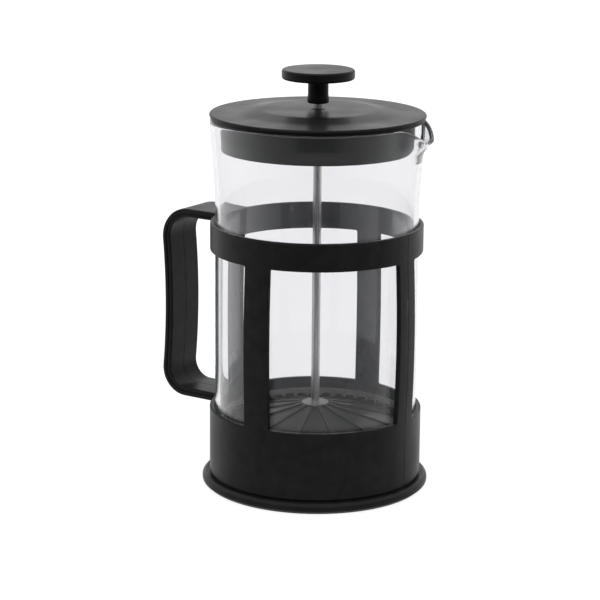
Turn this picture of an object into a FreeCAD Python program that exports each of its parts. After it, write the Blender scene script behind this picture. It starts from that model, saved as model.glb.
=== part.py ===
import FreeCAD, Part
import math
import os

# One-litre french press: a glass beaker standing in a moulded plastic holder, with a lid and a
# plunger. Millimetres. The origin is on the beaker's axis, on the surface that the press stands
# on. +Z is up and the handle is along -X. The beaker stands loose in the holder, turned so that
# its spout is SPOUT_TURN_DEG away from +X.

# Edge roundings used all over, and how far cutting shapes run past what they cut
TINY_R = 0.1
FINE_R = 0.2
SMALL_R = 0.3
MEDIUM_R = 0.4
SOFT_R = 0.6
PAST = 5.0

# Holder: band, four uprights and skirt
WALL_INNER_R = 48.35
SKIRT_OUTER_R = 50.5
BAND_OUTER_R = 50.25
SKIRT_BOTTOM_Z = 5.9
SKIRT_TOP_Z = 37.9
BAND_BOTTOM_Z = 113.9
HOLDER_TOP_Z = 127.0
UPRIGHT_COUNT = 4
UPRIGHT_WIDTH = 13.4
UPRIGHT_BOW = 0.8
UPRIGHT_BOW_R = 700.0
WINDOW_CORNER_R = 1.0
HOLDER_EDGE_R = 0.6
SEAM_WIDTH = 0.3
SEAM_DEPTH = 0.16

# Base plate, snapped into the bottom of the skirt
FOOT_R = 52.0
FLANGE_R = 54.0
FLANGE_LOW_Z = 1.7
FLANGE_HIGH_Z = 3.7
FLANGE_EDGE_R = 0.9
FLANGE_BEAD_R = 1.4
FLANGE_TOP_SETBACK = 1.6
FOOT_INNER_R = 46.5
SKIRT_GROOVE_DEPTH = 0.95
CENTRE_PAD_R = 26.0
UNDERSIDE_RECESS = 1.2
BASE_FLOOR_Z = 3.2
BASE_TOP_Z = 5.2
SPIGOT_INNER_R = 46.5
SPIGOT_OUTER_R = 48.25
SPIGOT_TOP_Z = 8.6
SNAP_BEAD_Z = 7.3
SNAP_BEAD_HEIGHT = 0.45
SNAP_CLEARANCE = 0.08
REST_RING_RADII = (13.0, 35.0)
REST_RING_WIDTH = 2.0
REST_CLEARANCE = 0.02

# Beaker
BEAKER_R = 48.0
BEAKER_BOTTOM_Z = 7.0
GLASS_WALL = 2.2
GLASS_FLOOR = 2.6
BEAKER_CORNER_R = 9.0
FLARE_START_Z = 141.0
FLARE_START_R = 90.0
FLARE_MIDDLE_Z = 162.0
FLARE_MIDDLE_R = 25.0
FLARE_MIDDLE_GROWTH = 1.2
RIM_START_Z = 169.5
RIM_START_R = 10.0
RIM_GROWTH = 2.35
RIM_TOP_Z = 175.9
SPOUT_TURN_DEG = 12.0
SPOUT_TIP_X = 56.1
SPOUT_DROP = 7.4
SPOUT_LIP_X = 46.4
SPOUT_START_Z = 156.0
SPOUT_START_TIP_R = 9.0
SPOUT_START_HALF_WIDTH = 10.0
SPOUT_TOP_Z = 178.0
SPOUT_TIP_R = 15.0
SPOUT_HALF_WIDTH = 32.0
SPOUT_ROOT_X = 30.0

# Handle: a strap of two layers with a groove between them
HANDLE_WIDTH = 23.2
HANDLE_THICKNESS = 4.2
HANDLE_TOP_Z = 126.8
HANDLE_BOTTOM_Z = 32.8
HANDLE_WAIST_X = -81.0
HANDLE_TOP_CORNER_R = 15.0
HANDLE_BOTTOM_CORNER_R = 13.0
HANDLE_WAIST_R = 342.0
HANDLE_ROOT_X = -49.4
HANDLE_EDGE_R = 0.9
GROOVE_DEPTH = 0.7
GROOVE_HEIGHT = 0.6
GROOVE_LIP_R = 0.25
INNER_LAYER_INSET = 0.35

# Lid: cap, insert with its pouring strainer, and the bush that guides the rod
LID_R = 50.6
LID_SPLIT_Z = 177.25
LID_EDGE_TOP_Z = 178.65
LID_ANNULUS_Z = 178.85
PLATEAU_FOOT_R = 37.5
PLATEAU_R = 27.0
PLATEAU_Z = 180.65
CAP_THICKNESS = 1.8
CAP_SPIGOT_Z = 174.6
CAP_FIT_CLEARANCE = 0.1
CAP_RECESS_SETBACK = 1.0
LID_EDGE_R = 0.8
LID_EDGE_SETBACK = 0.5
PLATEAU_FOOT_ROUNDING = 30.0
PLATEAU_ROUNDING = 15.0
INSERT_FLANGE_R = 50.15
INSERT_FLANGE_BOTTOM_Z = 175.95
INSERT_ROOT_R = 1.0
INSERT_R = 45.2
INSERT_WALL = 1.8
INSERT_BOTTOM_Z = 161.8
STRAINER_SLOTS = 9
STRAINER_PITCH_DEG = 5.5
STRAINER_SLOT_WIDTH = 1.6
STRAINER_BOTTOM_Z = 164.2
STRAINER_TOP_Z = 173.2
BOSS_R = 6.4
BOSS_BOTTOM_Z = 169.0
BUSH_R = 3.4
BUSH_FLANGE_R = 5.2
BUSH_FLANGE_HEIGHT = 1.4
BUSH_TOP_Z = 180.85
BUSH_SEAT_CLEARANCE = 0.1
RUNNING_CLEARANCE = 0.06

# Plunger: knob, rod and filter stack
ROD_R = 2.0
THREAD_R = 1.7
KNOB_R = 17.05
KNOB_TOP_Z = 199.1
KNOB_DISC_BOTTOM_Z = 194.5
KNOB_EDGE_R = 1.1
KNOB_DIMPLE = 0.5
STEM_R = 4.8
STEM_FOOT_R = 5.1
STEM_FOOT_HEIGHT = 2.2
STEM_FOOT_TAPER = 2.0
STEM_FOOT_EDGE_R = 0.9
STEM_FOOT_BLEND_R = 1.5
STEM_BLEND_R = 3.0
STEM_ROOT_R = 1.6
KNOB_DIMPLE_R = 6.0
STEM_BOTTOM_Z = 183.3
ROD_SHOULDER_TOP_Z = 184.3
INSERT_NUT_R = 3.1
INSERT_NUT_TOP_Z = 192.3
INSERT_NUT_CLEARANCE = 0.6
WASHER_R = 6.5
WASHER_BOTTOM_Z = 38.2
WASHER_THICKNESS = 1.0
PLATE_RIM_R = 42.4
PLATE_RIM_WALL = 1.4
PLATE_HUB_R = 5.0
PLATE_RIM_Z = 29.4
PLATE_THICKNESS = 1.6
PLATE_BOTTOM_Z = 28.1
TOOTH_COUNT = 42
TOOTH_GAP = 2.1
TOOTH_TOP_Z = 31.4
RIB_COUNT = 12
RIB_PHASE_DEG = 18.6
RIB_WIDTH = 2.0
RIB_HEIGHT = 0.8
MESH_R = 45.4
MESH_THICKNESS = 0.5
MESH_TOP_Z = 33.2
MESH_BEND_Z = 30.2
MESH_BEND_R = 1.5
MESH_INNER_BEND_R = 1.0
CROSS_PLATE_R = 41.0
CROSS_PLATE_THICKNESS = 1.2
CROSS_HOLE_R = 2.1
CROSS_HOLE_RINGS = ((11.0, 8), (19.0, 14), (27.0, 20), (35.0, 26))
NUT_ACROSS_FLATS = 8.0
NUT_HEIGHT = 5.2
NUT_DOME_R = 2.0
ROD_BOTTOM_Z = 23.4

UP = FreeCAD.Vector(0, 0, 1)
ORIGIN = FreeCAD.Vector(0, 0, 0)


def in_xz(a, b):
    return FreeCAD.Vector(a, 0, b)


def at_handle_root(a, b):
    return FreeCAD.Vector(HANDLE_ROOT_X, a, b)


def rounded_wire(corners, place):
    """Closed outline from corners (a, b, rounding radius), put in space by place(a, b)."""
    runs = []
    count = len(corners)
    for index in range(count):
        here = place(corners[index][0], corners[index][1])
        before = place(corners[index - 1][0], corners[index - 1][1])
        after = place(corners[(index + 1) % count][0], corners[(index + 1) % count][1])
        radius = corners[index][2]
        to_before = (before - here).normalize()
        to_after = (after - here).normalize()
        half_angle = to_before.getAngle(to_after) / 2
        if radius == 0:
            runs.append((here, None, here))
            continue
        setback = radius / math.tan(half_angle)
        bisector = (to_before + to_after).normalize()
        middle = here + bisector * (radius / math.sin(half_angle) - radius)
        runs.append((here + to_before * setback, middle, here + to_after * setback))
    edges = []
    for index in range(count):
        start, middle, end = runs[index]
        if middle is not None:
            edges.append(Part.Arc(start, middle, end).toShape())
        following = runs[(index + 1) % count][0]
        if end.distanceToPoint(following) > 1e-6:
            edges.append(Part.LineSegment(end, following).toShape())
    return Part.Wire(edges)


def turned(corners):
    """Solid of revolution about Z from corners (radius, z, rounding radius)."""
    return Part.Face(rounded_wire(corners, in_xz)).revolve(ORIGIN, UP, 360)


def copies_around(shape, count, phase=0.0):
    """Copies of a shape, evenly spaced about Z."""
    placed = []
    for index in range(count):
        copy = shape.copy()
        copy.rotate(ORIGIN, UP, phase + index * 360.0 / count)
        placed.append(copy)
    return placed


def upright_prism():
    """Solid that keeps one upright, with the rounded window corners at its ends."""
    half = UPRIGHT_WIDTH / 2
    corner = WINDOW_CORNER_R
    diagonal = corner * (1 - math.cos(math.radians(45)))

    def spot(y, z):
        return FreeCAD.Vector(WALL_INNER_R / 2, y, z)

    edges = []
    for side in (-1, 1):
        foot = spot(side * (half + corner), SKIRT_TOP_Z)
        foot_middle = spot(side * (half + diagonal), SKIRT_TOP_Z + diagonal)
        foot_end = spot(side * half, SKIRT_TOP_Z + corner)
        head_start = spot(side * half, BAND_BOTTOM_Z - corner)
        head_middle = spot(side * (half + diagonal), BAND_BOTTOM_Z - diagonal)
        head = spot(side * (half + corner), BAND_BOTTOM_Z)
        edges.append(Part.Arc(foot, foot_middle, foot_end).toShape())
        edges.append(Part.LineSegment(foot_end, head_start).toShape())
        edges.append(Part.Arc(head_start, head_middle, head).toShape())
    for z in (SKIRT_TOP_Z, BAND_BOTTOM_Z):
        edges.append(Part.LineSegment(spot(-half - corner, z), spot(half + corner, z)).toShape())
    outline = Part.Wire(Part.__sortEdges__(edges))
    return Part.Face(outline).extrude(FreeCAD.Vector(SKIRT_OUTER_R + PAST, 0, 0))


def window_edges(shape):
    """The edges where the windows meet the holder's outer surface."""
    found = []
    for edge in shape.Edges:
        low = edge.BoundBox.ZMin
        high = edge.BoundBox.ZMax
        ends = [math.hypot(vertex.X, vertex.Y) for vertex in edge.Vertexes]
        in_window = low > SKIRT_TOP_Z - TINY_R and high < BAND_BOTTOM_Z + TINY_R
        if in_window and len(ends) == 2 and min(ends) > (WALL_INNER_R + BAND_OUTER_R) / 2:
            found.append(edge)
    return found


def holder_outside(inset):
    """Corners of the holder's outer surface, from the skirt up to the band, drawn in by inset."""
    bow_r = (SKIRT_OUTER_R + BAND_OUTER_R) / 2 + 2 * UPRIGHT_BOW
    return [
        (SKIRT_OUTER_R - inset, SKIRT_BOTTOM_Z, MEDIUM_R),
        (SKIRT_OUTER_R - inset, SKIRT_TOP_Z, 0),
        (bow_r - inset, (SKIRT_TOP_Z + BAND_BOTTOM_Z) / 2, UPRIGHT_BOW_R),
        (BAND_OUTER_R - inset, BAND_BOTTOM_Z, 0),
        (BAND_OUTER_R - inset, HOLDER_TOP_Z, HOLDER_EDGE_R),
    ]


def mould_seam():
    """Fine groove that the mould leaves down the holder, opposite the handle."""
    strip = Part.makeBox(PAST, SEAM_WIDTH, HOLDER_TOP_Z,
                         FreeCAD.Vector(WALL_INNER_R + SEAM_DEPTH, -SEAM_WIDTH / 2, 0))
    core = turned([(0, SKIRT_BOTTOM_Z, 0)] + holder_outside(SEAM_DEPTH) + [(0, HOLDER_TOP_Z, 0)])
    return strip.cut(core)


def frame(handle_shape):
    """Band, uprights and skirt, moulded in one."""
    snap = SNAP_BEAD_HEIGHT
    shell = turned([(WALL_INNER_R, SKIRT_BOTTOM_Z, 0)] + holder_outside(0) + [
        (WALL_INNER_R, HOLDER_TOP_Z, MEDIUM_R),
        (WALL_INNER_R, BAND_BOTTOM_Z, 0),
        (WALL_INNER_R + 2 * UPRIGHT_BOW, (SKIRT_TOP_Z + BAND_BOTTOM_Z) / 2, UPRIGHT_BOW_R),
        (WALL_INNER_R, SKIRT_TOP_Z, 0),
        (WALL_INNER_R, SNAP_BEAD_Z + snap + SNAP_CLEARANCE, 0),
        (WALL_INNER_R + snap, SNAP_BEAD_Z, 0),
        (WALL_INNER_R, SNAP_BEAD_Z - snap - SNAP_CLEARANCE, 0),
    ])
    height = BAND_BOTTOM_Z - SKIRT_TOP_Z
    foot = FreeCAD.Vector(0, 0, SKIRT_TOP_Z)
    window_ring = Part.makeCylinder(SKIRT_OUTER_R + PAST, height, foot, UP)
    window_ring = window_ring.cut(Part.makeCylinder(WALL_INNER_R - PAST, height, foot, UP))
    windows = window_ring.cut(copies_around(upright_prism(), UPRIGHT_COUNT))
    body = shell.cut(windows)
    body = body.makeFillet(HOLDER_EDGE_R, window_edges(body))
    return body.cut([mould_seam(), handle_shape])


def handle_path():
    """Centre line of the strap: top run, corner, waisted grip, corner, bottom run."""
    half = HANDLE_THICKNESS / 2
    top = HANDLE_TOP_Z - half
    bottom = HANDLE_BOTTOM_Z + half
    middle_z = (top + bottom) / 2
    waist_x = HANDLE_WAIST_X + half
    waist_centre = in_xz(waist_x - HANDLE_WAIST_R, middle_z)
    joins = []
    for side, corner_r in ((1, HANDLE_TOP_CORNER_R), (-1, HANDLE_BOTTOM_CORNER_R)):
        radius = corner_r - half
        rise = (top - bottom) / 2 - radius
        reach = math.sqrt((HANDLE_WAIST_R + radius) ** 2 - rise ** 2)
        turn = (math.radians(90) + math.atan2(rise, reach)) / 2
        centre = waist_centre + in_xz(reach, side * rise)
        start = centre + in_xz(0, side * radius)
        halfway = centre + in_xz(-math.sin(turn), side * math.cos(turn)) * radius
        end = centre + (waist_centre - centre).normalize() * radius
        joins.append((start, halfway, end))
    upper, lower = joins
    return Part.Wire([
        Part.LineSegment(in_xz(HANDLE_ROOT_X, top), upper[0]).toShape(),
        Part.Arc(upper[0], upper[1], upper[2]).toShape(),
        Part.Arc(upper[2], in_xz(waist_x, middle_z), lower[2]).toShape(),
        Part.Arc(lower[2], lower[1], lower[0]).toShape(),
        Part.LineSegment(lower[0], in_xz(HANDLE_ROOT_X, bottom)).toShape(),
    ])


def handle():
    """Strap handle: an outer layer, a groove along each side, and a narrower inner layer."""
    half = HANDLE_WIDTH / 2
    inner = half - INNER_LAYER_INSET
    waist = half - GROOVE_DEPTH
    top = HANDLE_TOP_Z
    low = top - HANDLE_THICKNESS
    groove_top = top - HANDLE_THICKNESS / 2
    groove_low = groove_top - GROOVE_HEIGHT
    right = [
        (half, top, HANDLE_EDGE_R),
        (half, groove_top, GROOVE_LIP_R),
        (waist, groove_top, TINY_R),
        (waist, groove_low, TINY_R),
        (inner, groove_low, GROOVE_LIP_R),
        (inner, low, HANDLE_EDGE_R),
        (SEAM_WIDTH / 2, low, 0),
    ]
    seam_bottom = (0, low + SEAM_DEPTH, 0)
    left = [(-y, z, radius) for y, z, radius in reversed(right)]
    section = rounded_wire(right + [seam_bottom] + left, at_handle_root)
    return handle_path().makePipeShell([section], True, False)


def base_plate():
    """Flanged foot that closes the skirt and carries the beaker on two rings."""
    groove_r = SKIRT_OUTER_R - SKIRT_GROOVE_DEPTH
    rest_z = BEAKER_BOTTOM_Z - REST_CLEARANCE
    corners = [
        (0, 0, 0),
        (CENTRE_PAD_R, 0, SMALL_R),
        (CENTRE_PAD_R, UNDERSIDE_RECESS, SMALL_R),
        (FOOT_INNER_R, UNDERSIDE_RECESS, SMALL_R),
        (FOOT_INNER_R, 0, SMALL_R),
        (FOOT_R, 0, SOFT_R),
        (FLANGE_R, FLANGE_LOW_Z, FLANGE_EDGE_R),
        (FLANGE_R, FLANGE_HIGH_Z, FLANGE_BEAD_R),
        (FLANGE_R - FLANGE_TOP_SETBACK, BASE_TOP_Z, SOFT_R),
        (groove_r, BASE_TOP_Z, TINY_R),
        (groove_r, SKIRT_BOTTOM_Z, 0),
        (SPIGOT_OUTER_R, SKIRT_BOTTOM_Z, 0),
        (SPIGOT_OUTER_R, SNAP_BEAD_Z - SNAP_BEAD_HEIGHT, 0),
        (SPIGOT_OUTER_R + SNAP_BEAD_HEIGHT, SNAP_BEAD_Z, 0),
        (SPIGOT_OUTER_R, SNAP_BEAD_Z + SNAP_BEAD_HEIGHT, 0),
        (SPIGOT_OUTER_R, SPIGOT_TOP_Z, MEDIUM_R),
        (SPIGOT_INNER_R, SPIGOT_TOP_Z, MEDIUM_R),
        (SPIGOT_INNER_R, BASE_FLOOR_Z, SOFT_R),
    ]
    for radius in reversed(REST_RING_RADII):
        outer = radius + REST_RING_WIDTH / 2
        inner = radius - REST_RING_WIDTH / 2
        corners.append((outer, BASE_FLOOR_Z, SMALL_R))
        corners.append((outer, rest_z, MEDIUM_R))
        corners.append((inner, rest_z, MEDIUM_R))
        corners.append((inner, BASE_FLOOR_Z, SMALL_R))
    corners.append((0, BASE_FLOOR_Z, 0))
    return turned(corners)


def spout_section(z, tip_x, tip_r, root_x, half_width):
    """Plan outline of the spout at one height: a rounded tip with straight flanks."""
    centre = tip_x - tip_r
    length = math.hypot(centre - root_x, half_width)
    flank = math.atan2(half_width, centre - root_x) - math.asin(tip_r / length)
    touch_x = centre + tip_r * math.sin(flank)
    touch_y = tip_r * math.cos(flank)
    tip = Part.Arc(FreeCAD.Vector(touch_x, -touch_y, z), FreeCAD.Vector(tip_x, 0, z),
                   FreeCAD.Vector(touch_x, touch_y, z)).toShape()
    corners = [FreeCAD.Vector(touch_x, touch_y, z), FreeCAD.Vector(root_x, half_width, z),
               FreeCAD.Vector(root_x, -half_width, z), FreeCAD.Vector(touch_x, -touch_y, z)]
    runs = []
    for start, end in zip(corners, corners[1:]):
        runs.append(Part.LineSegment(start, end).toShape())
    return Part.Wire([tip] + runs)


def spout(inset):
    """Tapered spout body, drawn in by inset all round."""
    lip_z = RIM_TOP_Z - SPOUT_DROP
    growth = (SPOUT_TOP_Z - SPOUT_START_Z) / (lip_z - SPOUT_START_Z)
    top_x = BEAKER_R + (SPOUT_TIP_X - BEAKER_R) * growth
    low = spout_section(SPOUT_START_Z, BEAKER_R - inset, SPOUT_START_TIP_R,
                        SPOUT_ROOT_X, SPOUT_START_HALF_WIDTH)
    high = spout_section(SPOUT_TOP_Z, top_x - inset, SPOUT_TIP_R - inset,
                         SPOUT_ROOT_X, SPOUT_HALF_WIDTH - inset)
    return Part.makeLoft([low, high], True, True)


def beaker_profile(inset, bottom, top):
    """Corners of the beaker's outer surface, or of its inner one when inset by the wall."""
    radius = BEAKER_R - inset
    return [
        (0, bottom, 0),
        (radius, bottom, BEAKER_CORNER_R - inset),
        (radius, FLARE_START_Z, FLARE_START_R),
        (radius + FLARE_MIDDLE_GROWTH, FLARE_MIDDLE_Z, FLARE_MIDDLE_R),
        (radius + RIM_GROWTH, RIM_START_Z, RIM_START_R),
        (radius + RIM_GROWTH, top, 0),
        (0, top, 0),
    ]


def above_the_lip():
    """Wedge that slopes the lip down from the rim to the tip of the spout."""
    start = FreeCAD.Vector(SPOUT_LIP_X, -BEAKER_R, RIM_TOP_Z)
    slope = SPOUT_DROP / (SPOUT_TIP_X - SPOUT_LIP_X)
    run = SPOUT_TIP_X + PAST - SPOUT_LIP_X
    outline = Part.makePolygon([
        start,
        start + in_xz(run, -run * slope),
        start + in_xz(run, PAST),
        start + in_xz(0, PAST),
        start,
    ])
    return Part.Face(outline).extrude(FreeCAD.Vector(0, 2 * BEAKER_R, 0))


def beaker():
    """Glass beaker with a flared rim and a pulled spout."""
    top = RIM_TOP_Z + PAST
    outside = turned(beaker_profile(0, BEAKER_BOTTOM_Z, top)).fuse(spout(0))
    inside = turned(beaker_profile(GLASS_WALL, BEAKER_BOTTOM_Z + GLASS_FLOOR, top))
    glass = outside.cut(inside).cut(spout(GLASS_WALL))
    reach = SPOUT_TIP_X + PAST
    corner = FreeCAD.Vector(-reach, -reach, RIM_TOP_Z)
    above = Part.makeBox(2 * reach, 2 * reach, 2 * PAST, corner)
    glass = glass.cut([above, above_the_lip()]).Solids[0]
    glass.rotate(ORIGIN, UP, SPOUT_TURN_DEG)
    return glass


def lid_cap():
    """Cover of the lid: a rounded edge, a shallow ring and a raised middle with a guide boss."""
    inner_edge = INSERT_R - INSERT_WALL - CAP_FIT_CLEARANCE
    bore = BUSH_R + RUNNING_CLEARANCE
    return turned([
        (bore, BOSS_BOTTOM_Z, 0),
        (BOSS_R, BOSS_BOTTOM_Z, MEDIUM_R),
        (BOSS_R, PLATEAU_Z - CAP_THICKNESS, SOFT_R),
        (PLATEAU_R - CAP_RECESS_SETBACK, PLATEAU_Z - CAP_THICKNESS, SOFT_R),
        (PLATEAU_FOOT_R - CAP_RECESS_SETBACK, LID_ANNULUS_Z - CAP_THICKNESS, SOFT_R),
        (inner_edge - INSERT_WALL, LID_ANNULUS_Z - CAP_THICKNESS, SMALL_R),
        (inner_edge - INSERT_WALL, CAP_SPIGOT_Z, SMALL_R),
        (inner_edge, CAP_SPIGOT_Z, SMALL_R),
        (inner_edge, LID_SPLIT_Z, 0),
        (LID_R - LID_EDGE_SETBACK, LID_SPLIT_Z, 0),
        (LID_R, LID_SPLIT_Z + SMALL_R, FINE_R),
        (LID_R, LID_EDGE_TOP_Z, LID_EDGE_R),
        (PLATEAU_FOOT_R, LID_ANNULUS_Z, PLATEAU_FOOT_ROUNDING),
        (PLATEAU_R, PLATEAU_Z, PLATEAU_ROUNDING),
        (bore, PLATEAU_Z, TINY_R),
    ])


def strainer_slot():
    past = INSERT_R + 3
    slot = Part.makeBox(past, STRAINER_SLOT_WIDTH, STRAINER_TOP_Z - STRAINER_BOTTOM_Z,
                        FreeCAD.Vector(0, -STRAINER_SLOT_WIDTH / 2, STRAINER_BOTTOM_Z))
    return slot


def lid_insert():
    """Ring under the cap: its flange rests on the rim, and its skirt holds the strainer slots."""
    inner = INSERT_R - INSERT_WALL
    ring = turned([
        (inner, INSERT_BOTTOM_Z, MEDIUM_R),
        (INSERT_R, INSERT_BOTTOM_Z, SOFT_R),
        (INSERT_R, INSERT_FLANGE_BOTTOM_Z, INSERT_ROOT_R),
        (INSERT_FLANGE_R, INSERT_FLANGE_BOTTOM_Z, MEDIUM_R),
        (INSERT_FLANGE_R, LID_SPLIT_Z, FINE_R),
        (inner, LID_SPLIT_Z, 0),
    ])
    slots = []
    for index in range(STRAINER_SLOTS):
        slot = strainer_slot()
        slot.rotate(ORIGIN, UP, 180 + (index - (STRAINER_SLOTS - 1) / 2) * STRAINER_PITCH_DEG)
        slots.append(slot)
    return ring.cut(slots)


def rod_bush():
    """Flanged bush that guides the rod through the middle of the lid."""
    bore = ROD_R + RUNNING_CLEARANCE
    flange_top = BOSS_BOTTOM_Z - BUSH_SEAT_CLEARANCE
    flange_bottom = flange_top - BUSH_FLANGE_HEIGHT
    return turned([
        (bore, flange_bottom, FINE_R),
        (BUSH_FLANGE_R, flange_bottom, SMALL_R),
        (BUSH_FLANGE_R, flange_top, SMALL_R),
        (BUSH_R, flange_top, 0),
        (BUSH_R, BUSH_TOP_Z, FINE_R),
        (bore, BUSH_TOP_Z, FINE_R),
    ])


def knob():
    """Round knob and its stem, with a pocket for the threaded insert."""
    bore = ROD_R + RUNNING_CLEARANCE
    return turned([
        (bore, STEM_BOTTOM_Z, 0),
        (STEM_FOOT_R, STEM_BOTTOM_Z, STEM_FOOT_EDGE_R),
        (STEM_FOOT_R, STEM_BOTTOM_Z + STEM_FOOT_HEIGHT, STEM_FOOT_BLEND_R),
        (STEM_R, STEM_BOTTOM_Z + STEM_FOOT_HEIGHT + STEM_FOOT_TAPER, STEM_BLEND_R),
        (STEM_R, KNOB_DISC_BOTTOM_Z, STEM_ROOT_R),
        (KNOB_R, KNOB_DISC_BOTTOM_Z, KNOB_EDGE_R),
        (KNOB_R, KNOB_TOP_Z, KNOB_EDGE_R),
        (KNOB_R / 2, KNOB_TOP_Z, KNOB_DIMPLE_R),
        (0, KNOB_TOP_Z - KNOB_DIMPLE, 0),
        (0, INSERT_NUT_TOP_Z, 0),
        (INSERT_NUT_R, INSERT_NUT_TOP_Z, 0),
        (INSERT_NUT_R, ROD_SHOULDER_TOP_Z, 0),
        (bore, ROD_SHOULDER_TOP_Z, 0),
    ])


def knob_insert():
    """Threaded brass insert moulded into the stem."""
    return turned([
        (THREAD_R, ROD_SHOULDER_TOP_Z, FINE_R),
        (INSERT_NUT_R, ROD_SHOULDER_TOP_Z, 0),
        (INSERT_NUT_R, INSERT_NUT_TOP_Z, 0),
        (THREAD_R, INSERT_NUT_TOP_Z, FINE_R),
    ])


def plunger_rod():
    """Steel rod with a threaded stub at each end."""
    washer_top = WASHER_BOTTOM_Z + WASHER_THICKNESS
    return turned([
        (0, ROD_BOTTOM_Z, 0),
        (THREAD_R, ROD_BOTTOM_Z, SMALL_R),
        (THREAD_R, washer_top, 0),
        (ROD_R, washer_top, 0),
        (ROD_R, ROD_SHOULDER_TOP_Z, FINE_R),
        (THREAD_R, ROD_SHOULDER_TOP_Z, 0),
        (THREAD_R, INSERT_NUT_TOP_Z - INSERT_NUT_CLEARANCE, SMALL_R),
        (0, INSERT_NUT_TOP_Z - INSERT_NUT_CLEARANCE, 0),
    ])


def top_washer():
    """Washer that the rod's shoulder presses on the pressure plate."""
    top = WASHER_BOTTOM_Z + WASHER_THICKNESS
    return turned([
        (THREAD_R, WASHER_BOTTOM_Z, 0),
        (WASHER_R, WASHER_BOTTOM_Z, FINE_R),
        (WASHER_R, top, MEDIUM_R),
        (THREAD_R, top, 0),
    ])


def plate_top_z(radius):
    """Height of the pressure plate's cone at a radius."""
    fall = (WASHER_BOTTOM_Z - PLATE_RIM_Z) / (PLATE_RIM_R - PLATE_RIM_WALL - WASHER_R)
    return WASHER_BOTTOM_Z - (radius - WASHER_R) * fall


def plate_rib():
    """One raised rib along the cone, with rounded top edges."""
    start = WASHER_R + SMALL_R
    end = PLATE_RIM_R - PLATE_RIM_WALL / 2
    root = plate_top_z(start) - PLATE_THICKNESS / 2
    crest = plate_top_z(start) + RIB_HEIGHT

    def across_rib(a, b):
        return FreeCAD.Vector(start, a, b)

    section = rounded_wire([
        (-RIB_WIDTH / 2, root, 0),
        (RIB_WIDTH / 2, root, 0),
        (RIB_WIDTH / 2, crest, MEDIUM_R),
        (-RIB_WIDTH / 2, crest, MEDIUM_R),
    ], across_rib)
    down_the_cone = FreeCAD.Vector(end - start, 0, plate_top_z(end) - plate_top_z(start))
    return Part.Face(section).extrude(down_the_cone)


def pressure_plate():
    """Ribbed cone that spreads the push, with a toothed rim that holds the mesh out."""
    inner = PLATE_RIM_R - PLATE_RIM_WALL
    cone = turned([
        (THREAD_R, PLATE_BOTTOM_Z, 0),
        (PLATE_HUB_R, PLATE_BOTTOM_Z, SMALL_R),
        (PLATE_HUB_R, plate_top_z(PLATE_HUB_R) - PLATE_THICKNESS, SOFT_R),
        (inner - PLATE_RIM_WALL / 2, PLATE_BOTTOM_Z, 0),
        (PLATE_RIM_R, PLATE_BOTTOM_Z, SMALL_R),
        (PLATE_RIM_R, TOOTH_TOP_Z, SMALL_R),
        (inner, TOOTH_TOP_Z, SMALL_R),
        (inner, PLATE_RIM_Z, 0),
        (WASHER_R, WASHER_BOTTOM_Z, 0),
        (THREAD_R, WASHER_BOTTOM_Z, 0),
    ])
    gap = Part.makeBox(PLATE_RIM_R, TOOTH_GAP, TOOTH_TOP_Z,
                       FreeCAD.Vector(inner - PLATE_RIM_WALL / 2, -TOOTH_GAP / 2, PLATE_RIM_Z + RIB_HEIGHT))
    toothed = cone.cut(copies_around(gap, TOOTH_COUNT))
    return toothed.fuse(copies_around(plate_rib(), RIB_COUNT, RIB_PHASE_DEG)).removeSplitter()


def filter_mesh():
    """Woven steel disc with an edge that turns up against the glass."""
    top = PLATE_BOTTOM_Z
    bottom = top - MESH_THICKNESS
    wall = MESH_R - MESH_THICKNESS
    return turned([
        (THREAD_R, bottom, 0),
        (PLATE_RIM_R, bottom, MESH_BEND_R),
        (MESH_R, MESH_BEND_Z, MESH_BEND_R),
        (MESH_R, MESH_TOP_Z, FINE_R),
        (wall, MESH_TOP_Z, FINE_R),
        (wall, MESH_BEND_Z, MESH_INNER_BEND_R),
        (PLATE_RIM_R + FINE_R, top, MESH_INNER_BEND_R),
        (THREAD_R, top, 0),
    ])


def cross_plate():
    """Perforated steel plate that carries the mesh from below."""
    top = PLATE_BOTTOM_Z - MESH_THICKNESS
    bottom = top - CROSS_PLATE_THICKNESS
    disc = turned([
        (THREAD_R, bottom, 0),
        (CROSS_PLATE_R, bottom, SMALL_R),
        (CROSS_PLATE_R, top, SMALL_R),
        (THREAD_R, top, 0),
    ])
    holes = []
    for radius, count in CROSS_HOLE_RINGS:
        hole = Part.makeCylinder(CROSS_HOLE_R, 3 * CROSS_PLATE_THICKNESS,
                                 FreeCAD.Vector(radius, 0, bottom - CROSS_PLATE_THICKNESS), UP)
        holes.extend(copies_around(hole, count))
    return disc.cut(holes)


def hub_nut():
    """Domed hexagon nut that clamps the filter stack on the rod."""
    top = PLATE_BOTTOM_Z - MESH_THICKNESS - CROSS_PLATE_THICKNESS
    bottom = top - NUT_HEIGHT
    corner_r = NUT_ACROSS_FLATS / math.sqrt(3)
    points = []
    for index in range(7):
        angle = math.radians(60 * index)
        points.append(FreeCAD.Vector(corner_r * math.cos(angle), corner_r * math.sin(angle), bottom))
    hexagon = Part.Face(Part.makePolygon(points)).extrude(UP * NUT_HEIGHT)
    envelope = turned([
        (0, bottom, 0),
        (corner_r, bottom, NUT_DOME_R),
        (corner_r, top, SMALL_R),
        (THREAD_R, top, 0),
        (THREAD_R, ROD_BOTTOM_Z, 0),
        (0, ROD_BOTTOM_Z, 0),
    ])
    return hexagon.common(envelope)


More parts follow.
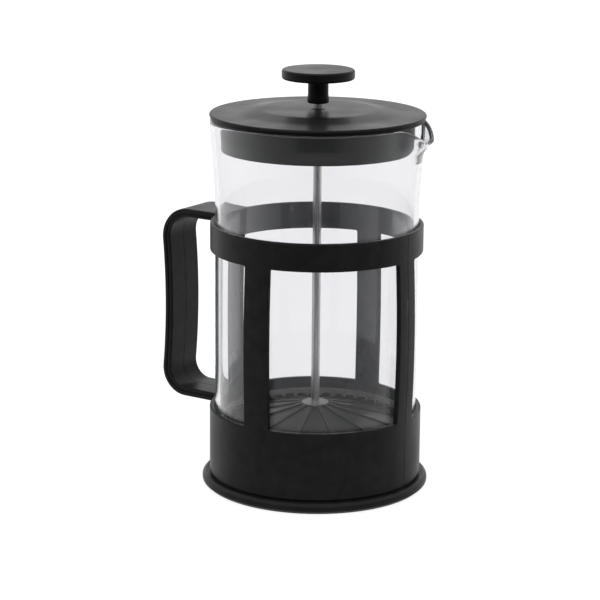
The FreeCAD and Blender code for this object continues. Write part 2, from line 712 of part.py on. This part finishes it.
def main():
    os.makedirs("parts", exist_ok=True)
    handle_shape = handle()
    pieces = {
        "frame": frame(handle_shape),
        "handle": handle_shape,
        "base_plate": base_plate(),
        "beaker": beaker(),
        "lid_cap": lid_cap(),
        "lid_insert": lid_insert(),
        "rod_bush": rod_bush(),
        "knob": knob(),
        "knob_insert": knob_insert(),
        "plunger_rod": plunger_rod(),
        "top_washer": top_washer(),
        "pressure_plate": pressure_plate(),
        "filter_mesh": filter_mesh(),
        "cross_plate": cross_plate(),
        "hub_nut": hub_nut(),
    }
    for name, shape in pieces.items():
        box = shape.BoundBox
        print(name, shape.isValid(), len(shape.Solids), round(shape.Volume, 1),
              [round(value, 2) for value in (box.XMin, box.XMax, box.YMin, box.YMax, box.ZMin, box.ZMax)])
        shape.exportStep("parts/" + name + ".step")


main()
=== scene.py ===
import math

import bpy
from mathutils import Matrix, Vector


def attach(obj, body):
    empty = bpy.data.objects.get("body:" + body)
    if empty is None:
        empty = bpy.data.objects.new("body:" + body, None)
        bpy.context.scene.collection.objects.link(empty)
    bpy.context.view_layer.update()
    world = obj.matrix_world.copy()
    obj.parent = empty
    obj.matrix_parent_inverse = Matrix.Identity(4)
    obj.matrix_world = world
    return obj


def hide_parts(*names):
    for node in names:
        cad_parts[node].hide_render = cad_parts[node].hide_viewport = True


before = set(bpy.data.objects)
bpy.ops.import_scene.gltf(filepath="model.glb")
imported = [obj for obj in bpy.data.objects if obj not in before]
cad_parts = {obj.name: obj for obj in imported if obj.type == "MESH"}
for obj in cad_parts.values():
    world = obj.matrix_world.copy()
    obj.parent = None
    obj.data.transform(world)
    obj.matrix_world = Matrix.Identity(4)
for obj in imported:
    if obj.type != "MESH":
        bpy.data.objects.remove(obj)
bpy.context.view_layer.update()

# The camera: where it looks from, in degrees round the press and above the table, and how far off.
AZIMUTH = math.radians(33.6)
ELEVATION = math.radians(13.86)
DISTANCE = 1.0877
LENS_MM = 137.64
SENSOR_MM = 36.0
CLIP_END = 50.0
ROLL = math.radians(0.461)
TARGET_HEIGHT = 0.0889
TARGET_SIDE_STEP = -0.00767

# What reflections and bounced light see: brightness by the direction from the press, from the
# camera's side (0) to behind (1)
STUDIO_LEVELS = ((0.0, 0.05), (0.015, 0.06), (0.05, 0.22), (0.3, 0.30), (0.5, 0.42), (0.7, 0.82),
                 (1.0, 1.08))
FLOOR_LEVELS = ((0.0, 0.10), (0.015, 0.10), (0.05, 0.24), (0.3, 0.55), (0.5, 0.85), (0.75, 1.0),
                (1.0, 1.1))
# Light from above: its brightness, and how far up it starts and is full, 1 being straight up
OVERHEAD_LEVEL = 1.3
OVERHEAD_FROM_TO = (0.35, 0.7)
# Least brightness of the floor beside the press, and how far it reaches, in metres
NEAR_FLOOR_LEVEL = 0.6
NEAR_FLOOR_REACH = (0.12, 0.65)
# Least brightness that the pieces inside the glass are lit with
INNER_LEVEL = 1.2
# The floor as it is seen: its glow, its own grey and its size, in metres from the press
FLOOR_GLOW = 0.85
FLOOR_GREY = 0.3
FLOOR_REACH = 12.0

MM = 0.001
FULL_TURN = 2 * math.pi
QUARTER_TURN = math.radians(90)
WHITE = (1.0, 1.0, 1.0, 1.0)


# ---------------------------------------------------------------- camera, floor and light


def camera_axes():
    """Forward, right and up of the level camera."""
    forward = Vector((-math.sin(AZIMUTH) * math.cos(ELEVATION),
                      math.cos(AZIMUTH) * math.cos(ELEVATION), -math.sin(ELEVATION)))
    right = Vector((math.cos(AZIMUTH), math.sin(AZIMUTH), 0.0))
    return forward, right, right.cross(forward)


def make_camera():
    """The photo's camera, rolled a little about its own line of sight."""
    forward, right, up = camera_axes()
    target = right * TARGET_SIDE_STEP + Vector((0, 0, TARGET_HEIGHT))
    rolled_right = right * math.cos(ROLL) + up * math.sin(ROLL)
    rolled_up = up * math.cos(ROLL) - right * math.sin(ROLL)
    place = Matrix((rolled_right, rolled_up, -forward)).transposed().to_4x4()
    place.translation = target - forward * DISTANCE
    data = bpy.data.cameras.new("camera")
    data.lens = LENS_MM
    data.sensor_width = SENSOR_MM
    data.clip_end = CLIP_END
    camera = bpy.data.objects.new("camera", data)
    camera.matrix_world = place
    bpy.context.scene.collection.objects.link(camera)
    bpy.context.scene.camera = camera


def toward_back():
    """Level direction from the camera's side of the press to its far side."""
    forward = camera_axes()[0]
    return Vector((forward.x, forward.y, 0.0)).normalized()


def maths(nodes, links, operation, first, second):
    """The result of a two-input operation; second is a number or another node's output."""
    node = nodes.new("ShaderNodeMath")
    node.operation = operation
    links.new(first, node.inputs[0])
    if isinstance(second, float):
        node.inputs[1].default_value = second
    else:
        links.new(second, node.inputs[1])
    return node.outputs["Value"]


def map_range(nodes, links, value, span, results):
    """value, held within span (low, high) and mapped to results (low, high)."""
    mapping = nodes.new("ShaderNodeMapRange")
    mapping.inputs["From Min"].default_value = span[0]
    mapping.inputs["From Max"].default_value = span[1]
    mapping.inputs["To Min"].default_value = results[0]
    mapping.inputs["To Max"].default_value = results[1]
    links.new(value, mapping.inputs["Value"])
    return mapping.outputs["Result"]


def level_by_direction(nodes, links, place, stops):
    """Brightness by the direction from the press, as in STUDIO_LEVELS and FLOOR_LEVELS."""
    level = nodes.new("ShaderNodeVectorMath")
    level.operation = "NORMALIZE"
    links.new(place, level.inputs[0])
    facing = nodes.new("ShaderNodeVectorMath")
    facing.operation = "DOT_PRODUCT"
    facing.inputs[1].default_value = toward_back()
    links.new(level.outputs["Vector"], facing.inputs[0])
    spread = map_range(nodes, links, facing.outputs["Value"], (-1.0, 1.0), (0.0, 1.0))
    ramp = nodes.new("ShaderNodeValToRGB")
    while len(ramp.color_ramp.elements) < len(stops):
        ramp.color_ramp.elements.new(0.5)
    for element, (position, brightness) in zip(ramp.color_ramp.elements, stops):
        element.position = position
        element.color = (brightness, brightness, brightness, 1.0)
    links.new(spread, ramp.inputs["Fac"])
    return ramp.outputs["Color"]


def see_through_rays(nodes, links):
    """1 for what is looked at directly or through the glass, 0 for reflections and bounces."""
    path = nodes.new("ShaderNodeLightPath")
    diffuse, glossy = path.outputs["Diffuse Depth"], path.outputs["Glossy Depth"]
    return maths(nodes, links, "LESS_THAN", maths(nodes, links, "ADD", diffuse, glossy), 0.5)


def through_glass_level(nodes, links):
    """INNER_LEVEL for rays that have passed through glass, 0 for the others."""
    passed = nodes.new("ShaderNodeLightPath").outputs["Transmission Depth"]
    inside = maths(nodes, links, "GREATER_THAN", passed, 0.5)
    return maths(nodes, links, "MULTIPLY", inside, INNER_LEVEL)


def make_world():
    """A studio that is white to look at and lights the press as STUDIO_LEVELS says."""
    world = bpy.data.worlds.new("studio")
    bpy.context.scene.world = world
    world.use_nodes = True
    nodes, links = world.node_tree.nodes, world.node_tree.links
    direction = nodes.new("ShaderNodeTexCoord").outputs["Generated"]
    studio = level_by_direction(nodes, links, direction, STUDIO_LEVELS)
    parts = nodes.new("ShaderNodeSeparateXYZ")
    links.new(direction, parts.inputs["Vector"])
    overhead = map_range(nodes, links, parts.outputs["Z"], OVERHEAD_FROM_TO, (0.0, OVERHEAD_LEVEL))
    lit = maths(nodes, links, "MAXIMUM", studio, overhead)
    lifted = maths(nodes, links, "MAXIMUM", lit, through_glass_level(nodes, links))
    shade = nodes.new("ShaderNodeMix")
    shade.data_type = "RGBA"
    links.new(see_through_rays(nodes, links), shade.inputs["Factor"])
    links.new(lifted, shade.inputs["A"])
    shade.inputs["B"].default_value = WHITE
    links.new(shade.outputs["Result"], nodes["Background"].inputs["Color"])


def make_floor():
    """White paper that takes the press's shadow, and lights the press as FLOOR_LEVELS says."""
    mesh = bpy.data.meshes.new("floor")
    far = FLOOR_REACH
    mesh.from_pydata([(-far, -far, 0), (far, -far, 0), (far, far, 0), (-far, far, 0)], [],
                     [(0, 1, 2, 3)])
    floor = bpy.data.objects.new("floor", mesh)
    bpy.context.scene.collection.objects.link(floor)
    material, paper = new_material("floor_paper", (FLOOR_GREY, FLOOR_GREY, FLOOR_GREY), 0.9)
    paper.inputs["Specular IOR Level"].default_value = 0.0
    paper.inputs["Emission Color"].default_value = WHITE
    paper.inputs["Emission Strength"].default_value = FLOOR_GLOW
    nodes, links = material.node_tree.nodes, material.node_tree.links
    reflected = nodes.new("ShaderNodeEmission")
    place = nodes.new("ShaderNodeTexCoord").outputs["Object"]
    distance = nodes.new("ShaderNodeVectorMath")
    distance.operation = "LENGTH"
    links.new(place, distance.inputs[0])
    near = map_range(nodes, links, distance.outputs["Value"], NEAR_FLOOR_REACH,
                     (NEAR_FLOOR_LEVEL, 0.0))
    around = level_by_direction(nodes, links, place, FLOOR_LEVELS)
    links.new(maths(nodes, links, "MAXIMUM", near, around), reflected.inputs["Color"])
    blend = nodes.new("ShaderNodeMixShader")
    links.new(see_through_rays(nodes, links), blend.inputs["Fac"])
    links.new(reflected.outputs["Emission"], blend.inputs[1])
    links.new(paper.outputs["BSDF"], blend.inputs[2])
    links.new(blend.outputs["Shader"], nodes["Material Output"].inputs["Surface"])
    mesh.materials.append(material)


# ---------------------------------------------------------------- materials

# The stretch that most of a noise pattern's values lie in
NOISE_SPAN = (0.3, 0.7)
# Patterns of the plastics, in waves a metre
SHEEN_WAVES = 45.0
TONE_WAVES = 160.0
GRAIN_WAVES = 2600.0
# Draw lines of the steels, in waves a metre, and their depth in metres
DRAW_LINE_WAVES = 900.0
DRAW_LINE_DEPTH = 0.00002
# The glass: its own tint and its veil's
GLASS_TINT = (0.884, 0.883, 0.898)
GLASS_VEIL_TINT = (0.93, 0.97, 1.0, 1.0)
# Haze and forming waves of the glass, in waves a metre, with their strength and depth in metres
GLASS_HAZE_WAVES = 30.0
GLASS_HAZE_ROUGHNESS = 0.012
GLASS_FORMING_WAVES = 9.0
GLASS_FORMING_DEPTH = 0.000002
# A face looks at the axis when its normal points outward less than this, -1 being straight at it
INSIDE_FACE_LIMIT = -0.9


def new_material(name, colour, roughness, metallic=0.0):
    """A material and its shader."""
    material = bpy.data.materials.new(name)
    material.use_nodes = True
    shader = material.node_tree.nodes["Principled BSDF"]
    shader.inputs["Base Color"].default_value = (*colour, 1.0)
    shader.inputs["Roughness"].default_value = roughness
    shader.inputs["Metallic"].default_value = metallic
    return material, shader


def noise(material, scale, detail=3.0, stretch=(1, 1, 1)):
    """A noise pattern fixed to the piece; scale is in waves a metre."""
    nodes, links = material.node_tree.nodes, material.node_tree.links
    place = nodes.new("ShaderNodeTexCoord")
    sizing = nodes.new("ShaderNodeMapping")
    sizing.inputs["Scale"].default_value = stretch
    pattern = nodes.new("ShaderNodeTexNoise")
    pattern.inputs["Scale"].default_value = scale
    pattern.inputs["Detail"].default_value = detail
    links.new(place.outputs["Object"], sizing.inputs["Vector"])
    links.new(sizing.outputs["Vector"], pattern.inputs["Vector"])
    return pattern.outputs["Fac"]


def vary_roughness(material, shader, pattern, low, high):
    """Roughness between low and high, by a noise pattern."""
    nodes, links = material.node_tree.nodes, material.node_tree.links
    links.new(map_range(nodes, links, pattern, NOISE_SPAN, (low, high)), shader.inputs["Roughness"])


def vary_colour(material, shader, pattern, low, high):
    """Colour between low and high, by a noise pattern."""
    nodes, links = material.node_tree.nodes, material.node_tree.links
    ramp = nodes.new("ShaderNodeValToRGB")
    for element, position, colour in zip(ramp.color_ramp.elements, NOISE_SPAN, (low, high)):
        element.position = position
        element.color = (*colour, 1.0)
    links.new(pattern, ramp.inputs["Fac"])
    links.new(ramp.outputs["Color"], shader.inputs["Base Color"])


def times(colour, factor):
    """A darker or lighter colour."""
    return tuple(level * factor for level in colour)


def bumps(material, shader, pattern, depth):
    """Bumps of a depth in metres, by a noise pattern."""
    nodes, links = material.node_tree.nodes, material.node_tree.links
    bump = nodes.new("ShaderNodeBump")
    bump.inputs["Distance"].default_value = depth
    bump.inputs["Strength"].default_value = 1.0
    links.new(pattern, bump.inputs["Height"])
    links.new(bump.outputs["Normal"], shader.inputs["Normal"])


def moulded_plastic(name, colour, roughness, sheen_level, grain_depth):
    """Black polypropylene: a fine moulded grain and slow changes in its sheen."""
    material, shader = new_material(name, colour, roughness)
    shader.inputs["Specular IOR Level"].default_value = sheen_level
    sheen = noise(material, SHEEN_WAVES, detail=4.0)
    vary_roughness(material, shader, sheen, roughness - 0.05, roughness + 0.06)
    tone = noise(material, TONE_WAVES, detail=5.0)
    vary_colour(material, shader, tone, times(colour, 0.75), times(colour, 1.3))
    bumps(material, shader, noise(material, GRAIN_WAVES, detail=2.0), grain_depth)
    return material


def clear_glass():
    """Borosilicate glass with a faint pale veil, a slight haze and slow waves from forming."""
    material, shader = new_material("clear_glass", GLASS_TINT, 0.0)
    shader.inputs["Transmission Weight"].default_value = 1.0
    shader.inputs["IOR"].default_value = 1.47
    shader.inputs["Sheen Weight"].default_value = 0.13
    shader.inputs["Sheen Roughness"].default_value = 0.6
    shader.inputs["Sheen Tint"].default_value = GLASS_VEIL_TINT
    vary_roughness(material, shader, noise(material, GLASS_HAZE_WAVES), 0.0, GLASS_HAZE_ROUGHNESS)
    forming = noise(material, GLASS_FORMING_WAVES, detail=1.0, stretch=(1, 1, 0.4))
    bumps(material, shader, forming, GLASS_FORMING_DEPTH)
    return material


def drawn_steel(name, colour, roughness, stretch, metallic=1.0):
    """Bare metal with draw lines, which run where stretch is small."""
    material, shader = new_material(name, colour, roughness, metallic)
    lines = noise(material, DRAW_LINE_WAVES, detail=4.0, stretch=stretch)
    vary_roughness(material, shader, lines, roughness - 0.1, roughness + 0.15)
    vary_colour(material, shader, lines, times(colour, 0.72), colour)
    bumps(material, shader, lines, DRAW_LINE_DEPTH)
    return material


def give(nodes, material):
    """One material all over each of the named CAD nodes."""
    for name in nodes:
        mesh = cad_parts[name].data
        mesh.materials.clear()
        mesh.materials.append(material)


def polish_and_paint_light_inside(name, material):
    """A second material on the faces that look at the axis: glossier, as they come off a polished
    core, and with a lighter colour that is painted light.
    """
    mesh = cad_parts[name].data
    mesh.materials.append(material)
    for polygon in mesh.polygons:
        place, normal = polygon.center, polygon.normal
        outward = (normal.x * place.x + normal.y * place.y) / math.hypot(place.x, place.y)
        if outward < INSIDE_FACE_LIMIT:
            polygon.material_index = 1


# ---------------------------------------------------------------- made pieces


def made_piece(name, points, faces, material, body, replaced):
    """A smooth piece on a body, in place of a CAD node."""
    mesh = bpy.data.meshes.new(name)
    mesh.from_pydata(points, [], faces)
    mesh.validate()
    mesh.materials.append(material)
    for polygon in mesh.polygons:
        polygon.use_smooth = True
    piece = bpy.data.objects.new(name, mesh)
    bpy.context.scene.collection.objects.link(piece)
    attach(piece, body)
    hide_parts(replaced)


def ease(value):
    """Smooth step from 0 to 1."""
    value = min(1.0, max(0.0, value))
    return value * value * (3 - 2 * value)


# Beaker, in millimetres
GLASS_R = 48.0
GLASS_WALL = 2.2
GLASS_BOTTOM_Z = 7.0
GLASS_FLOOR = 2.6
GLASS_CORNER_R = 9.0
FLARE_START_Z = 138.0
FLARE_END_Z = 162.0
FLARE_GROWTH = 1.3
LIP_START_Z = 161.0
LIP_END_Z = 170.5
LIP_GROWTH = 1.02
RIM_Z = 175.9
SPOUT_TURN = math.radians(12)
SPOUT_TIP_R = 56.1
SPOUT_START_Z = 157.0
SPOUT_HALF_ANGLE = math.radians(22.8)
SPOUT_DROP = 7.4
SPOUT_DROP_POWER = 1.7
SPOUT_STEEPNESS = 1.6
SPOUT_TIP_SOFTNESS = 0.49
SPOUT_BLEND = 14.0
# Past this many half angles from its tip the spout has no effect
SPOUT_FREE_FROM = 3
# How finely the beaker is divided, round the axis and along its outline
FINE_STEP = math.radians(0.5)
COARSE_STEP = math.radians(2.0)
CORNER_STEPS = 12
STRAIGHT_STEPS = 8
FLARE_STEPS = 40
RIM_STEPS = 8
# Keeps the sum of many steps from adding one more angle at its end
ANGLE_SLACK = 1e-9


def beaker_angles():
    """Angles round the beaker from the spout's tip, close together at the spout."""
    span = 2 * SPOUT_HALF_ANGLE
    angles = []
    angle = -span
    for end, step in ((span, FINE_STEP), (FULL_TURN - span, COARSE_STEP)):
        while angle < end - ANGLE_SLACK:
            angles.append(angle)
            angle += step
    return angles


def soft_ramp(value):
    """value where it is well above 0, and 0 well below, with a soft bend between."""
    return math.log(1 + math.exp(SPOUT_BLEND * value)) / SPOUT_BLEND


def spout_share(angle):
    """How far the spout is pulled out at an angle: 1 at its tip, 0 away from it."""
    turn = (angle + math.pi) % FULL_TURN - math.pi
    away = abs(turn) / SPOUT_HALF_ANGLE
    if away > SPOUT_FREE_FROM:
        return 0.0
    reach = soft_ramp(1 - math.sqrt(away ** 2 + SPOUT_TIP_SOFTNESS ** 2))
    return reach / soft_ramp(1 - SPOUT_TIP_SOFTNESS)


def wall_radius(z):
    """The beaker's outer radius away from the spout."""
    flare = FLARE_GROWTH * ease((z - FLARE_START_Z) / (FLARE_END_Z - FLARE_START_Z))
    lip = LIP_GROWTH * ease((z - LIP_START_Z) / (LIP_END_Z - LIP_START_Z))
    return GLASS_R + flare + lip


def outer_radius(angle, z):
    """The beaker's outer radius with the spout, at an angle from the spout's tip."""
    tip_z = RIM_Z - SPOUT_DROP
    rise = min(1.0, max(0.0, (z - SPOUT_START_Z) / (tip_z - SPOUT_START_Z)))
    pull = (SPOUT_TIP_R - wall_radius(tip_z)) * rise ** SPOUT_STEEPNESS
    return wall_radius(z) + pull * spout_share(angle)


def rounded_bottom(wall_r, floor_z, corner_r):
    """(radius, z) out along a flat bottom and round its corner to the wall."""
    places = [((wall_r - corner_r) * share, floor_z) for share in (0.25, 0.5, 0.75)]
    for step in range(CORNER_STEPS + 1):
        turn = QUARTER_TURN * step / CORNER_STEPS
        places.append((wall_r - corner_r * (1 - math.sin(turn)),
                       floor_z + corner_r * (1 - math.cos(turn))))
    return places


def steps_between(low, high, steps):
    """Evenly spaced values above low, up to high."""
    return [low + (high - low) * step / steps for step in range(1, steps + 1)]


def beaker_meridian(angle):
    """Outline (radius, z) at one angle: under the floor, up outside, over the rim, down inside."""
    half_wall = GLASS_WALL / 2
    top = RIM_Z - SPOUT_DROP * spout_share(angle) ** SPOUT_DROP_POWER - half_wall
    heights = steps_between(GLASS_BOTTOM_Z + GLASS_CORNER_R, FLARE_START_Z, STRAIGHT_STEPS)
    heights += steps_between(FLARE_START_Z, top, FLARE_STEPS)
    outline = rounded_bottom(GLASS_R, GLASS_BOTTOM_Z, GLASS_CORNER_R)
    outline += [(outer_radius(angle, z), z) for z in heights]
    middle = outer_radius(angle, top) - half_wall
    for step in range(1, RIM_STEPS):
        turn = math.pi * step / RIM_STEPS
        outline.append((middle + half_wall * math.cos(turn), top + half_wall * math.sin(turn)))
    outline += [(outer_radius(angle, z) - GLASS_WALL, z) for z in reversed(heights)]
    outline += reversed(rounded_bottom(GLASS_R - GLASS_WALL, GLASS_BOTTOM_Z + GLASS_FLOOR,
                                       GLASS_CORNER_R - GLASS_WALL))
    return outline


def make_beaker(material):
    """Meridians joined round the axis, with the middle of the floor closed below and above."""
    angles = beaker_angles()
    points, faces = [], []
    for angle in angles:
        along, across = math.cos(angle + SPOUT_TURN), math.sin(angle + SPOUT_TURN)
        for radius, z in beaker_meridian(angle):
            points.append((radius * along * MM, radius * across * MM, z * MM))
    length = len(points) // len(angles)
    count = len(angles)
    for column in range(count):
        following = (column + 1) % count
        for row in range(length - 1):
            faces.append((column * length + row, following * length + row,
                          following * length + row + 1, column * length + row + 1))
    under, above = len(points), len(points) + 1
    points.append((0, 0, GLASS_BOTTOM_Z * MM))
    points.append((0, 0, (GLASS_BOTTOM_Z + GLASS_FLOOR) * MM))
    for column in range(count):
        following = (column + 1) % count
        faces.append((under, following * length, column * length))
        faces.append((above, column * length + length - 1, following * length + length - 1))
    made_piece("beaker_glass", points, faces, material, "beaker", "beaker")


# Filter mesh, in millimetres
MESH_FLAT_R = 42.8
MESH_WALL_R = 45.3
MESH_TOP_Z = 33.1
MESH_LOW_Z = 27.85
MESH_SLOPE_RISE = 2.4
WIRE_PITCH = 0.95
WIRE_R = 0.13
WEAVE_HEIGHT = 0.1
WOVEN_FROM_R = 39.0
WIRE_SIDES = 3
# Height that makes the direction from the axis to a wire lean upward, so that no wire runs along it
WIRE_LEAN_Z = 40
# The backing disc: how far it goes past the start of the weave, and its other measures
BACKING_OVERLAP = 1.5
BACKING_HALF_THICKNESS = 0.12
BACKING_HOLE_R = 1.7
BACKING_STEPS = 96

# Length of the dish's slope, and radius of the flat disc that the dish is pressed from
SLOPE_RUN = math.hypot(MESH_WALL_R - MESH_FLAT_R, MESH_SLOPE_RISE)
SHEET_R = MESH_FLAT_R + SLOPE_RUN + MESH_TOP_Z - MESH_LOW_Z - MESH_SLOPE_RISE


def dish_place(along):
    """(radius, z) of the mesh's middle surface at a distance from the centre along the sheet."""
    if along <= MESH_FLAT_R:
        return along, MESH_LOW_Z
    past = along - MESH_FLAT_R
    if past <= SLOPE_RUN:
        share = past / SLOPE_RUN
        return (MESH_FLAT_R + (MESH_WALL_R - MESH_FLAT_R) * share,
                MESH_LOW_Z + MESH_SLOPE_RISE * share)
    return MESH_WALL_R, min(MESH_TOP_Z, MESH_LOW_Z + MESH_SLOPE_RISE + past - SLOPE_RUN)


def on_dish(x, y, lift):
    """Where a point of the flat sheet lies on the dish, lifted off its middle surface."""
    along = math.hypot(x, y)
    radius, z = dish_place(along)
    if along > MESH_FLAT_R:
        radius -= lift
    else:
        z += lift
    return Vector((x / along * radius, y / along * radius, z))


def wire_tube(route, points, faces):
    """A wire with flat sides along a list of places."""
    first = len(points)
    for index, place in enumerate(route):
        ahead = route[min(index + 1, len(route) - 1)] - route[max(index - 1, 0)]
        side = ahead.cross(Vector((place.x, place.y, WIRE_LEAN_Z))).normalized()
        over = side.cross(ahead).normalized()
        for corner in range(WIRE_SIDES):
            turn = FULL_TURN * corner / WIRE_SIDES
            points.append((place + (side * math.cos(turn) + over * math.sin(turn)) * WIRE_R) * MM)
    for index in range(len(route) - 1):
        for corner in range(WIRE_SIDES):
            here = first + index * WIRE_SIDES + corner
            beside = first + index * WIRE_SIDES + (corner + 1) % WIRE_SIDES
            faces.append((here, beside, beside + WIRE_SIDES, here + WIRE_SIDES))
    last = first + (len(route) - 1) * WIRE_SIDES
    faces.append(tuple(reversed(range(first, first + WIRE_SIDES))))
    faces.append(tuple(range(last, last + WIRE_SIDES)))


def wire_routes():
    """The stretches of every wire outside the plate, each as a list of places."""
    lines = int(SHEET_R / WIRE_PITCH)
    for direction in (0, 1):
        for line in range(-lines, lines + 1):
            offset = (line + 0.5) * WIRE_PITCH
            if abs(offset) >= SHEET_R:
                continue
            half = math.sqrt(SHEET_R ** 2 - offset ** 2)
            route = []
            steps = int(2 * half / (WIRE_PITCH / 2))
            for step in range(steps + 1):
                along = -half + 2 * half * step / steps
                inside = math.hypot(along, offset) < WOVEN_FROM_R
                if not inside:
                    wave = math.cos(math.pi * (along / WIRE_PITCH + line + direction))
                    x, y = (along, offset) if direction == 0 else (offset, along)
                    route.append(on_dish(x, y, WEAVE_HEIGHT * wave))
                if (inside or step == steps) and len(route) > 1:
                    yield route
                if inside:
                    route = []


def backing_disc(points, faces):
    """A thin ring under the plate, where the weave isn't seen."""
    radius = WOVEN_FROM_R + BACKING_OVERLAP
    low, high = MESH_LOW_Z - BACKING_HALF_THICKNESS, MESH_LOW_Z + BACKING_HALF_THICKNESS
    outline = ((BACKING_HOLE_R, low), (radius, low), (radius, high), (BACKING_HOLE_R, high))
    first = len(points)
    for ring_r, z in outline:
        for step in range(BACKING_STEPS):
            turn = FULL_TURN * step / BACKING_STEPS
            points.append((ring_r * math.cos(turn) * MM, ring_r * math.sin(turn) * MM, z * MM))
    for ring in range(len(outline)):
        here = first + ring * BACKING_STEPS
        beside = first + (ring + 1) % len(outline) * BACKING_STEPS
        for step in range(BACKING_STEPS):
            following = (step + 1) % BACKING_STEPS
            faces.append((here + following, here + step, beside + step, beside + following))


def make_filter_mesh(material):
    """Woven wires in the turned-up edge, and a backing disc under the plate."""
    points, faces = [], []
    for route in wire_routes():
        wire_tube(route, points, faces)
    backing_disc(points, faces)
    made_piece("filter_weave", points, faces, material, "plunger", "filter_mesh")


# ---------------------------------------------------------------- the scene

scene = bpy.context.scene
scene.view_settings.view_transform = "Standard"
scene.view_settings.look = "None"
make_camera()
make_world()
make_floor()

# Plastics: name, colour, roughness, sheen level, grain depth in metres
holder_plastic = moulded_plastic("holder_plastic", (0.012, 0.012, 0.0122), 0.36, 0.12, 0.00001)
# The frame's inside faces: the same black plastic, glossier, with a lighter colour that is painted
# light on the inner walls
painted_light_inside_plastic = moulded_plastic("painted_light_inside_plastic", (0.06, 0.0615, 0.066), 0.25, 0.9, 0.000002)
lid_plastic = moulded_plastic("lid_plastic", (0.009, 0.009, 0.0092), 0.33, 0.12, 0.000004)
insert_plastic = moulded_plastic("insert_plastic", (0.003, 0.003, 0.0032), 0.38, 0.14, 0.000001)
plate_plastic = moulded_plastic("plate_plastic", (0.003, 0.003, 0.0035), 0.36, 0.16, 0.000001)
# Metals: name, colour, roughness, stretch of the draw lines along x, y and z
rod_steel = drawn_steel("rod_steel", (0.80, 0.785, 0.76), 0.26, (1.0, 1.0, 0.02))
stack_steel = drawn_steel("stack_steel", (0.6, 0.6, 0.59), 0.3, (1.0, 0.05, 1.0))
washer_steel = drawn_steel("washer_steel", (0.2, 0.2, 0.2), 0.42, (1.0, 1.0, 1.0))
mesh_steel = drawn_steel("mesh_steel", (0.85, 0.85, 0.84), 0.34, (1.0, 1.0, 1.0), metallic=0.1)
brass = drawn_steel("brass", (0.72, 0.52, 0.25), 0.3, (1.0, 1.0, 0.05))

give(("frame", "handle", "base_plate"), holder_plastic)
# Painted light: the frame's inner faces get the lighter, glossier copy of its plastic
polish_and_paint_light_inside("frame", painted_light_inside_plastic)
give(("lid_cap", "rod_bush", "knob"), lid_plastic)
give(("lid_insert",), insert_plastic)
give(("pressure_plate",), plate_plastic)
give(("plunger_rod",), rod_steel)
give(("cross_plate", "hub_nut"), stack_steel)
give(("top_washer",), washer_steel)
give(("knob_insert",), brass)

make_beaker(clear_glass())
make_filter_mesh(mesh_steel)
